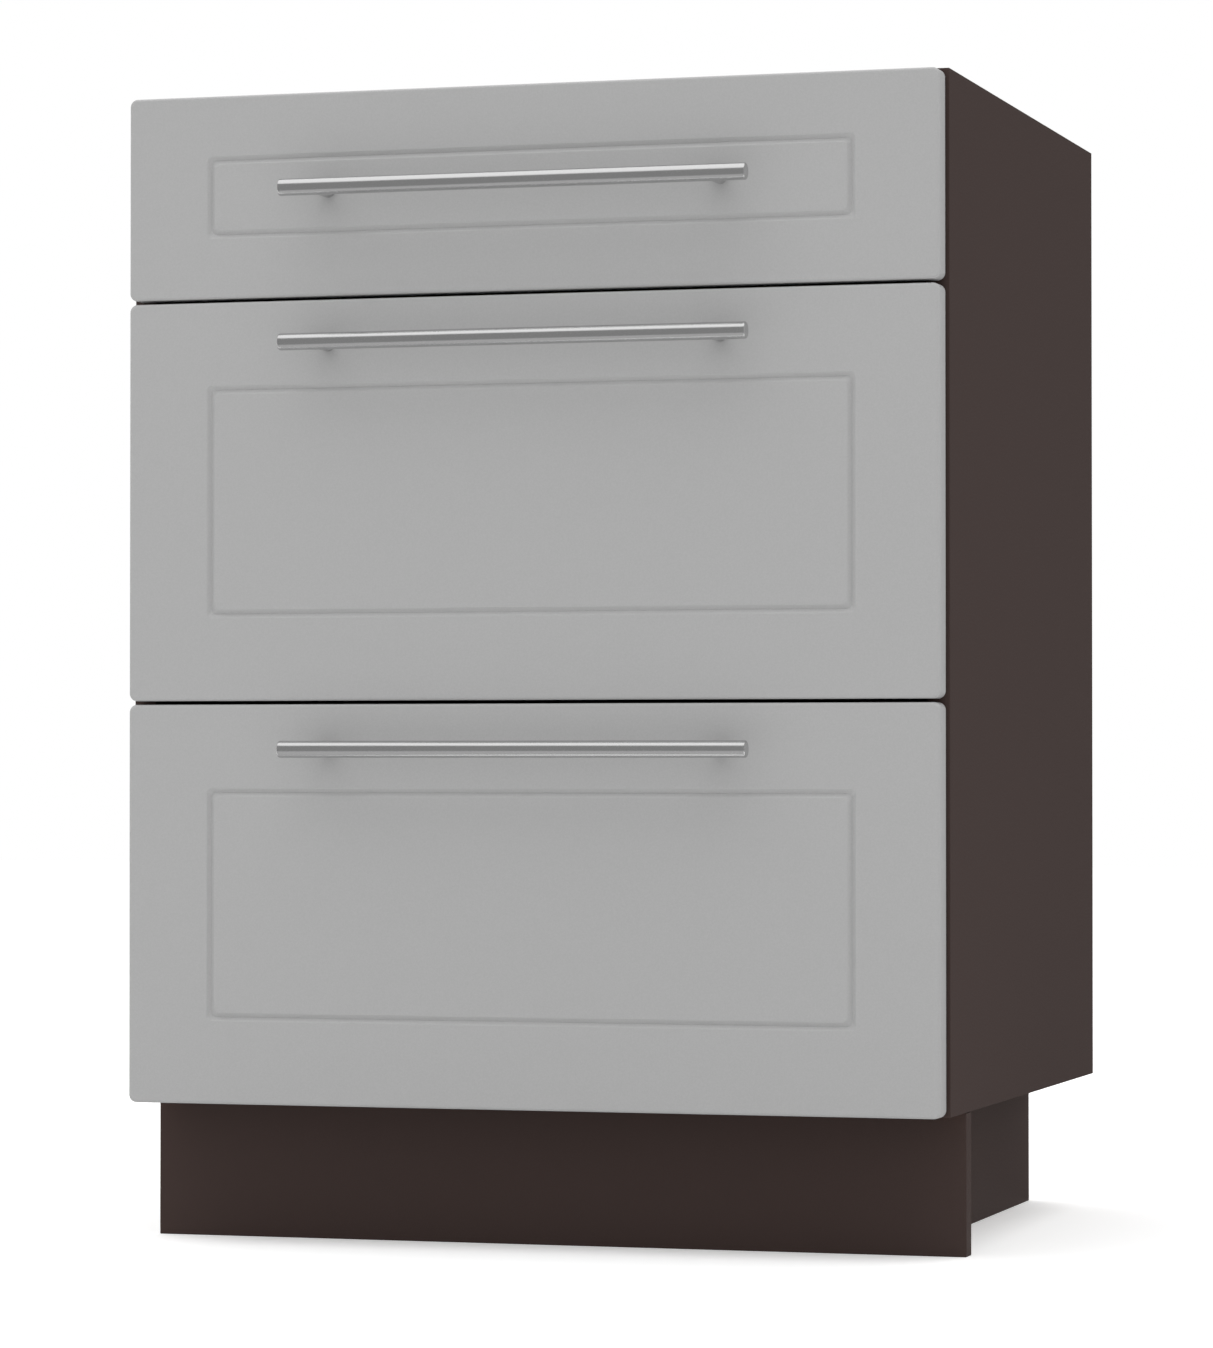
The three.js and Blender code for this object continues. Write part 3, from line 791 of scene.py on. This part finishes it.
outer_low, outer_high = corners("runner_outer_top_left")
inner_low, inner_high = corners("runner_inner_top_left")
thickness = corners("box_side_top_left")[0][0] - FIT - outer_low[0]
outer_half = (outer_high[2] - outer_low[2]) / 2
inner_half = (inner_high[2] - inner_low[2]) / 2
outer_ball_z = outer_half - STEEL - FIT - BALL / 2
inner_ball_z = inner_half + FIT + BALL / 2
middle_half = outer_ball_z - BALL / 2
outer_edge = thickness - STEEL
middle_web = STEEL + WEB_GAP
middle_edge = outer_edge - WEB_GAP
inner_edge = middle_web + STEEL + WEB_GAP
ball_t = (inner_edge + middle_edge - STEEL) / 2
print("runner:", round(thickness / MM, 1), "mm x", round(2 * outer_half / MM, 1), "mm")

# %% Middle lines of the three members
HALF_STEEL = STEEL / 2
LIP = 3 * MM


def channel_line(web, edge, half, lip):
    """Middle line of a C section: lip, flange, web, flange, lip."""
    upper = [(edge, half - lip), (edge, half), (web, half)]
    return upper + [(t, -z) for t, z in reversed(upper)]


outer_line = channel_line(
    HALF_STEEL, outer_edge - HALF_STEEL, outer_half - HALF_STEEL, LIP - HALF_STEEL
)
middle_line = channel_line(
    middle_web + HALF_STEEL, middle_edge - HALF_STEEL, middle_half - HALF_STEEL, LIP - HALF_STEEL
)
inner_line = channel_line(
    thickness - HALF_STEEL, inner_edge + HALF_STEEL, inner_half - HALF_STEEL, STEEL
)
print("outer web to inner web:", round((inner_line[2][0] - outer_line[2][0]) / MM, 1), "mm")

# %% Members of one runner
BEND = 1.4 * MM


def runner_place(level, side):
    """x of the panel that carries a runner, y of the runner's ends, z of its middle."""
    low, high = corners(f"runner_outer_{level}_{side}")
    return outer_and_inner(low, high, SIDES[side])[0], low[1], high[1], (low[2] + high[2]) / 2


def strip_piece(name, line, steel, level, side, start, end):
    """A bent strip carried from y = start to y = end at one runner. A point (t, z) of
    its outline lies at x = panel - sign t, and z above the runner's middle."""
    panel, _, _, middle_z = runner_place(level, side)
    outline = bent_strip(line, min(BEND, 2 * steel), steel)
    placed = np.stack([panel - SIDES[side] * outline[:, 0], middle_z + outline[:, 1]], axis=-1)
    return loft(name, through(placed, "y", start, end), [zinc_steel])


def runner_members(level, side):
    """Channel, slide and rail of one runner, each in place of its CAD node."""
    _, start, end, _ = runner_place(level, side)
    members = {
        "outer": ("channel", outer_line),
        "middle": ("slide", middle_line),
        "inner": ("rail", inner_line),
    }
    for kind, (made, line) in members.items():
        piece = strip_piece(f"runner_{made}_{level}_{side}", line, STEEL, level, side, start, end)
        stand_for(piece, f"runner_{kind}_{level}_{side}")


# %% [markdown]
# The balls run in two pairs of rows: one pair at the rear, between the outer and the
# middle member, and one at the front, between the middle and the inner one. Each pair
# sits in a thin steel cage. Real balls roll at the mean speed of the two members that
# they touch; here they simply go with the middle one. There are hundreds of them, so a
# ball has few faces, and one mesh holds a whole pair of rows.

# %% Balls and cages of one runner
CAGE_STEEL = 0.5 * MM
BALL_PITCH = 8 * MM
BALL_ROW = 200 * MM
BALL_ROW_END = 12 * MM
BALL_RINGS = 6
BALL_SIDES = 10
POLE_TURN = 0.15


def ball_rings():
    """A small sphere about the origin: at turn t from a pole, the circle has radius
    R sin t at z = -R cos t. Each pole is closed by a small face."""
    turn = np.linspace(POLE_TURN, np.pi - POLE_TURN, BALL_RINGS)
    return turned(BALL / 2 * np.sin(turn), -BALL / 2 * np.cos(turn), sides=BALL_SIDES)


def ball_row(row, level, side, start, ball_z, cage_web):
    """A pair of ball rows at ball_z above and below the runner's middle, and their cage."""
    node = f"runner_middle_{level}_{side}"
    panel, _, _, middle_z = runner_place(level, side)
    y = start + np.arange(0.5, BALL_ROW / BALL_PITCH) * BALL_PITCH
    x = np.full_like(y, panel - SIDES[side] * ball_t)
    heights = (middle_z - ball_z, middle_z + ball_z)
    places = np.concatenate([np.stack([x, y, np.full_like(y, z)], axis=-1) for z in heights])
    name = f"runner_balls_{row}_{level}_{side}"
    go_with(repeated(name, ball_rings(), places, [bearing_steel]), node)
    tip = ball_t + BALL / 2
    line = [(tip, ball_z), (cage_web, ball_z), (cage_web, -ball_z), (tip, -ball_z)]
    name = f"runner_cage_{row}_{level}_{side}"
    cage = strip_piece(name, line, CAGE_STEEL, level, side, start, start + BALL_ROW)
    go_with(cage, node)


# %% Six runners
for level in LEVELS:
    for side in SIDES:
        _, start, end, _ = runner_place(level, side)
        runner_members(level, side)
        rear_start = end - BALL_ROW_END - BALL_ROW
        ball_row("rear", level, side, rear_start, outer_ball_z, STEEL + WEB_GAP / 2)
        ball_row("front", level, side, start + BALL_ROW_END, inner_ball_z, inner_edge - WEB_GAP / 2)
print("runners:", len(LEVELS) * len(SIDES), "with", 4 * int(BALL_ROW / BALL_PITCH), "balls each")

# %% [markdown]
# ## Screws
# The handles and the runners are held by pan-head screws, which show when a drawer is
# open. A cross recess could be cut with a boolean, which leaves ragged faces on a small
# dome. Here the dome's height is lowered in the shape of a cross, all in one function.

# %% Pan head with a cross recess
CROSS_ARM = 0.13
CROSS_REACH = 0.62
CROSS_DEPTH = 0.55
TIP_RADIUS = 0.6        # all of these are shares of the shank's or the head's size
TIP_LENGTH = 0.4
HEAD_RIM = 0.04
CROWN = 0.04
CROWN_RINGS = 18
SCREW_SIDES = 48


def screw_rings(shank_radius, head_radius, head_height, length):
    """A screw about z with its tip at 0 and the top of its head at its length. The dome's
    height at radius r is half the head's plus half of it times sqrt(1 - (r / R)^2). It is
    lowered by the cross: exp(-(a / arm)^4) exp(-(r / reach)^8), a being the distance from
    the nearer of the cross's two middle lines."""
    share = np.linspace(1, CROWN, CROWN_RINGS)
    shoulder = length - head_height
    dome = shoulder + head_height / 2 * (1 + np.sqrt(1 - share**2))
    under_head = (1 - HEAD_RIM) * head_radius
    radii = [TIP_RADIUS * shank_radius, shank_radius, shank_radius, under_head, head_radius]
    rim = shoulder + HEAD_RIM * head_height
    along = [0.0, TIP_LENGTH * shank_radius, shoulder, shoulder, rim]
    rings = turned([*radii, *(head_radius * share)], [*along, *dome], sides=SCREW_SIDES)
    top = rings[len(radii):]
    across = np.abs(top[..., :2]).min(axis=-1) / head_radius
    out = np.linalg.norm(top[..., :2], axis=-1) / head_radius
    cross = np.exp(-((across / CROSS_ARM) ** 4)) * np.exp(-((out / CROSS_REACH) ** 8))
    top[..., 2] -= CROSS_DEPTH * head_height * cross
    return rings


# %% Handle screws
HANDLE_HEAD_HEIGHT = 2.6 * MM
HANDLE_SHANK_RADIUS = 2 * MM

for level in LEVELS:
    for side in SIDES:
        node = f"handle_screw_{level}_{side}"
        low, high = corners(node)
        head_radius = (high[0] - low[0]) / 2
        length = high[1] - low[1]
        rings = screw_rings(HANDLE_SHANK_RADIUS, head_radius, HANDLE_HEAD_HEIGHT, length)
        tip = ((low[0] + high[0]) / 2, low[1], (low[2] + high[2]) / 2)
        stand_for(loft(f"screw_{level}_{side}", aimed(rings, BACK, tip), [screw_zinc]), node)
print("handle screw:", np.round((high - low) / MM, 1), "mm")

# %% Runner screws
RUNNER_SCREWS = 4
RUNNER_SCREW_START = 35 * MM
RUNNER_SCREW_PITCH = 128 * MM
RUNNER_SHANK_RADIUS = 1.6 * MM
RUNNER_HEAD_RADIUS = 3.2 * MM
RUNNER_HEAD_HEIGHT = 1.6 * MM
RUNNER_SCREW_REACH = 1 * MM

length = RUNNER_HEAD_HEIGHT + RUNNER_SCREW_REACH
rings = screw_rings(RUNNER_SHANK_RADIUS, RUNNER_HEAD_RADIUS, RUNNER_HEAD_HEIGHT, length)

for level in LEVELS:
    for side, sign in SIDES.items():
        node = f"runner_inner_{level}_{side}"
        low, high = corners(node)
        web = outer_and_inner(low, high, sign)[1] + sign * STEEL
        y = low[1] + RUNNER_SCREW_START + RUNNER_SCREW_PITCH * np.arange(RUNNER_SCREWS)
        x = np.full_like(y, web - sign * RUNNER_SCREW_REACH)
        places = np.stack([x, y, np.full_like(y, (low[2] + high[2]) / 2)], axis=-1)
        outward = aimed(rings, (sign, 0, 0))
        screws = repeated(f"runner_screws_{level}_{side}", outward, places, [screw_zinc])
        go_with(screws, node)
print("screws in a runner rail:", RUNNER_SCREWS)

# %% [markdown]
# ## Nails
# The hardboard back is nailed to the bottom panel and to the rear rail. A nail's head is
# a low dome, with far fewer faces than a screw's, and one mesh holds each row.

# %% Nails along the hardboard back
NAILS_IN_ROW = 6
NAIL_SPREAD = 0.85
NAIL_HEAD_RADIUS = 2.6 * MM
NAIL_HEAD_HEIGHT = 0.7 * MM
NAIL_REACH = 4 * MM
NAIL_SHANK = 0.3        # these four are shares of the head's radius or height
NAIL_UNDER_HEAD = 0.95
NAIL_RIM = 0.4
NAIL_CROWN = 0.2
NAIL_RINGS = 5
NAIL_SIDES = 20

share = np.linspace(0, 1, NAIL_RINGS)
dome = np.sqrt(1 - (1 - NAIL_CROWN**2) * share**2)
rise = NAIL_REACH + NAIL_HEAD_HEIGHT * (NAIL_RIM + (1 - NAIL_RIM) * share)
radii = NAIL_HEAD_RADIUS * np.array([NAIL_SHANK, NAIL_SHANK, NAIL_UNDER_HEAD, *dome])
along = np.array([0, NAIL_REACH, NAIL_REACH, *rise])
rings = aimed(turned(radii, along, sides=NAIL_SIDES), BACK)

x = NAIL_SPREAD * np.linspace(back_low[0], back_high[0], NAILS_IN_ROW)
y = np.full_like(x, back_high[1] - NAIL_REACH)
for node in ("bottom_panel", "top_rail_rear"):
    low, high = corners(node)
    places = np.stack([x, y, np.full_like(x, (low[2] + high[2]) / 2)], axis=-1)
    go_with(repeated(f"nails_{node}", rings, places, [screw_zinc]), "back_panel")
print("nails:", 2 * NAILS_IN_ROW)

# %% [markdown]
# ## Bumpers
# Four soft dots behind each front let it close quietly against the carcass. Each is a
# low dome, turned from six radii.

# %% Bumper dots behind the fronts
BUMPER_RADIUS = 4 * MM
BUMPER_HEIGHT = 1.7 * MM
BUMPER_INSET_X = 6 * MM
BUMPER_INSET_Z = 14 * MM
BUMPER_SIDES = 28

radii = BUMPER_RADIUS * np.array([1, 1, 0.97, 0.88, 0.72, 0.5])
along = BUMPER_HEIGHT * np.array([0, 0.3, 0.55, 0.78, 0.92, 1])
rings = aimed(turned(radii, along, sides=BUMPER_SIDES), BACK)

for level in LEVELS:
    node = f"drawer_front_{level}"
    low, high = corners(node)
    x = np.array([low[0] + BUMPER_INSET_X, high[0] - BUMPER_INSET_X])
    z = np.array([low[2] + BUMPER_INSET_Z, high[2] - BUMPER_INSET_Z])
    x, z = (grid.ravel() for grid in np.meshgrid(x, z))
    places = np.stack([x, np.full_like(x, high[1]), z], axis=-1)
    dots = repeated(f"bumpers_{level}", rings, places, [clear_rubber])
    go_with(dots, node)
print("bumper dots on a front:", len(places))

# %% [markdown]
# ## Camera
# The camera stands where the photograph was taken: a little right of the cabinet, low,
# and looking slightly up. It could be moved by eye until the picture fits. Here its place
# was found from the cabinet's own long edges, which leave only one place possible, and it
# is written relative to the faces of the fronts.

# %% Camera
IMAGE_WIDTH, IMAGE_HEIGHT = 1213, 1348
FOCAL_PIXELS = 4950.0
CAMERA_FROM_FACE = (1.0516, -3.2961, 0.3452)
CAMERA_TURN = 0.292325
CAMERA_TILT = 0.017239
SENSOR = 36.0
CLIP_END = 100

lens = bpy.data.cameras.new("camera")
camera = bpy.data.objects.new("camera", lens)
bpy.context.collection.objects.link(camera)
lens.sensor_width = SENSOR
lens.lens = FOCAL_PIXELS / max(IMAGE_WIDTH, IMAGE_HEIGHT) * SENSOR
lens.clip_end = CLIP_END
camera.location = Vector(CAMERA_FROM_FACE) + Vector((0, float(face_y), 0))
look = Vector((-math.sin(CAMERA_TURN), math.cos(CAMERA_TURN), math.tan(CAMERA_TILT)))
camera.rotation_mode = "QUATERNION"
camera.rotation_quaternion = look.to_track_quat("-Z", "Y")
bpy.context.scene.camera = camera
print("lens:", round(lens.lens, 1), "mm, turned", round(math.degrees(CAMERA_TURN), 1), "degrees")

# %% [markdown]
# ## Light
# The photograph has no hard shadow: the fronts, the side and the walls of the grooves are
# lit almost alike from every direction. A sun or a spot would draw edges that it doesn't
# have. So one broad softbox hangs straight above, and an evenly lit studio does the rest.

# %% Softbox overhead
CEILING_HEIGHT = 4.6
CEILING_SIZE = 7.0
CEILING_SHIFT = -0.8
CEILING_POWER = 180

lamp = bpy.data.lights.new("overhead", "AREA")
lamp.shape = "SQUARE"
lamp.size = CEILING_SIZE
lamp.energy = CEILING_POWER
overhead = bpy.data.objects.new("overhead", lamp)
overhead.location = (CEILING_SHIFT, 0, CEILING_HEIGHT)
# The softbox is hidden from gloss; the ceiling card below paints its reflection.
overhead.visible_glossy = False
bpy.context.collection.objects.link(overhead)
print("softbox radiance:", round(CEILING_POWER / (math.pi * CEILING_SIZE**2), 2))

# %% [markdown]
# ### Cards for the shiny pieces
# A photographer puts grey cards round shiny things, because steel shows nothing but what
# it mirrors. The bars show a bright line above, a dark band across their middle and a
# paler one below. These sheets are seen by gloss alone: they shape what the steel and
# the satin foil mirror, and throw no light on anything matte.

# %% A card
def card(name, points, brightness):
    """A sheet (rows, columns, 3) of even brightness, which only mirrors and gloss show."""
    index = np.arange(points[..., 0].size).reshape(points.shape[:2])
    quads = np.stack([index[:-1, :-1], index[:-1, 1:], index[1:, 1:], index[1:, :-1]], axis=-1)
    mesh = bpy.data.meshes.new(name)
    mesh.from_pydata(points.reshape(-1, 3).tolist(), [], quads.reshape(-1, 4).tolist())
    sheet = bpy.data.objects.new(name, mesh)
    bpy.context.collection.objects.link(sheet)
    paper = bpy.data.materials.new(name)
    paper.use_nodes = True
    tree = paper.node_tree
    tree.nodes.remove(tree.nodes["Principled BSDF"])
    light = tree.nodes.new("ShaderNodeEmission")
    light.inputs["Strength"].default_value = brightness
    tree.links.new(light.outputs[0], tree.nodes["Material Output"].inputs["Surface"])
    mesh.materials.append(paper)
    sheet.visible_camera = False
    sheet.visible_diffuse = False
    sheet.visible_shadow = False
    sheet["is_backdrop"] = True


# %% Cards bent round the cabinet
CARD_STEPS = 24


def bent_card(name, start, end, brightness, rows):
    """A card bent round the cabinet from a start to an end angle, 0 degrees being straight
    in front. Point (i, j) lies at angle j, at the radius and height of row i."""
    angle = np.radians(np.linspace(start, end, CARD_STEPS))
    circle = np.stack([np.sin(angle), -np.cos(angle), np.zeros(CARD_STEPS)], axis=-1)
    card(name, np.stack([radius * circle + (0, 0, z) for radius, z in rows]), brightness)


# %% Cards in place
CARD_RADIUS = 3.0
CARD_HEIGHT = 3.0
CARD_FOOT_START = 0.36
CARD_FOOT_END = 1.05
CARD_LIFT = 2 * MM

foot_start, foot_end = (CARD_FOOT_START, CARD_LIFT), (CARD_FOOT_END, CARD_LIFT)
wall = [(CARD_RADIUS, CARD_LIFT), (CARD_RADIUS, CARD_HEIGHT)]

half = CEILING_SIZE / 2
ceiling = np.array([[(x, y, CEILING_HEIGHT) for x in (-half, half)] for y in (-half, half)])
# The ceiling card is the softbox's reflection, painted: a glowing sheet in the lamp's place, seen
# by gloss alone.
card("card_ceiling", ceiling, brightness=1.24)
bent_card("card_front", start=-75, end=45, brightness=0.32, rows=[foot_end, *wall])
bent_card("card_front_foot", start=-60, end=45, brightness=0.57, rows=[foot_start, foot_end])
bent_card("card_side", start=45, end=100, brightness=0.45, rows=[foot_end, *wall])
bent_card("card_right", start=100, end=178, brightness=0.35, rows=[foot_start, *wall])
bent_card("card_left", start=-178, end=-100, brightness=0.15, rows=[foot_end, *wall])

# %% [markdown]
# ## Background
# The photograph's background is pure white. More light would bleach the cabinet as well.
# So the world is white only to rays that come straight from the camera, a mirror or
# glass, and lights the cabinet at a lower strength.

# %% Rays that see the background
def seen_directly(tree):
    """1 for rays that a camera, a mirror or glass sends out, 0 for the rest: the largest
    of the three answers of a Light Path node."""
    path = tree.nodes.new("ShaderNodeLightPath")
    first = tree.nodes.new("ShaderNodeMath")
    second = tree.nodes.new("ShaderNodeMath")
    first.operation = second.operation = "MAXIMUM"
    tree.links.new(path.outputs["Is Camera Ray"], first.inputs[0])
    tree.links.new(path.outputs["Is Glossy Ray"], first.inputs[1])
    tree.links.new(first.outputs[0], second.inputs[0])
    tree.links.new(path.outputs["Is Transmission Ray"], second.inputs[1])
    return second.outputs[0]


# %% World
AMBIENT = 0.83
BACKGROUND = 1.0
WHITE = (1, 1, 1, 1)

world = bpy.data.worlds.new("studio")
bpy.context.scene.world = world
world.use_nodes = True
tree = world.node_tree
plain = tree.nodes["Background"]
plain.inputs["Color"].default_value = WHITE
plain.inputs["Strength"].default_value = AMBIENT
white = tree.nodes.new("ShaderNodeBackground")
white.inputs["Color"].default_value = WHITE
white.inputs["Strength"].default_value = BACKGROUND
choice = tree.nodes.new("ShaderNodeMixShader")
tree.links.new(seen_directly(tree), choice.inputs["Fac"])
tree.links.new(plain.outputs[0], choice.inputs[1])
tree.links.new(white.outputs[0], choice.inputs[2])
tree.links.new(choice.outputs[0], tree.nodes["World Output"].inputs["Surface"])
print("world:", AMBIENT, "as light,", BACKGROUND, "as background")

# %% [markdown]
# ## Floor
# The floor is white paper. Diffuse paper alone would come out a little darker than the
# background, so a weak glow is added, for the same rays only. The paper keeps the
# cabinet's soft shadow.

# %% Floor
FLOOR_HALF = 12.0
FLOOR_GREY = 0.88
FLOOR_GLOW = 0.3

mesh = bpy.data.meshes.new("floor")
outline = FLOOR_HALF * np.array([(-1, -1, 0), (1, -1, 0), (1, 1, 0), (-1, 1, 0)])
mesh.from_pydata(outline.tolist(), [], [(0, 1, 2, 3)])
floor = bpy.data.objects.new("floor", mesh)
bpy.context.collection.objects.link(floor)
floor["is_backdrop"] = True
print("floor:", 2 * FLOOR_HALF, "m wide")

# %% White paper
paper = bpy.data.materials.new("white_paper")
paper.use_nodes = True
tree = paper.node_tree
tree.nodes.remove(tree.nodes["Principled BSDF"])
matte = tree.nodes.new("ShaderNodeBsdfDiffuse")
matte.inputs["Color"].default_value = (FLOOR_GREY, FLOOR_GREY, FLOOR_GREY, 1)
glow = tree.nodes.new("ShaderNodeEmission")
scale = tree.nodes.new("ShaderNodeMath")
scale.operation = "MULTIPLY"
scale.inputs[1].default_value = FLOOR_GLOW
tree.links.new(seen_directly(tree), scale.inputs[0])
tree.links.new(scale.outputs[0], glow.inputs["Strength"])
total = tree.nodes.new("ShaderNodeAddShader")
tree.links.new(matte.outputs[0], total.inputs[0])
tree.links.new(glow.outputs[0], total.inputs[1])
tree.links.new(total.outputs[0], tree.nodes["Material Output"].inputs["Surface"])
mesh.materials.append(paper)
print("paper:", paper.name, "of grey", FLOOR_GREY, "with a glow of", FLOOR_GLOW)

# %% [markdown]
# ## Tone and size
# The Standard view shows a colour about as it is written, which keeps the grey and the
# brown true. At the end, the box of the finished piece is worked out.

# %% Tone
bpy.context.scene.view_settings.view_transform = "Standard"
print("view:", bpy.context.scene.view_settings.view_transform)

# %% Size of the finished piece
low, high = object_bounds()
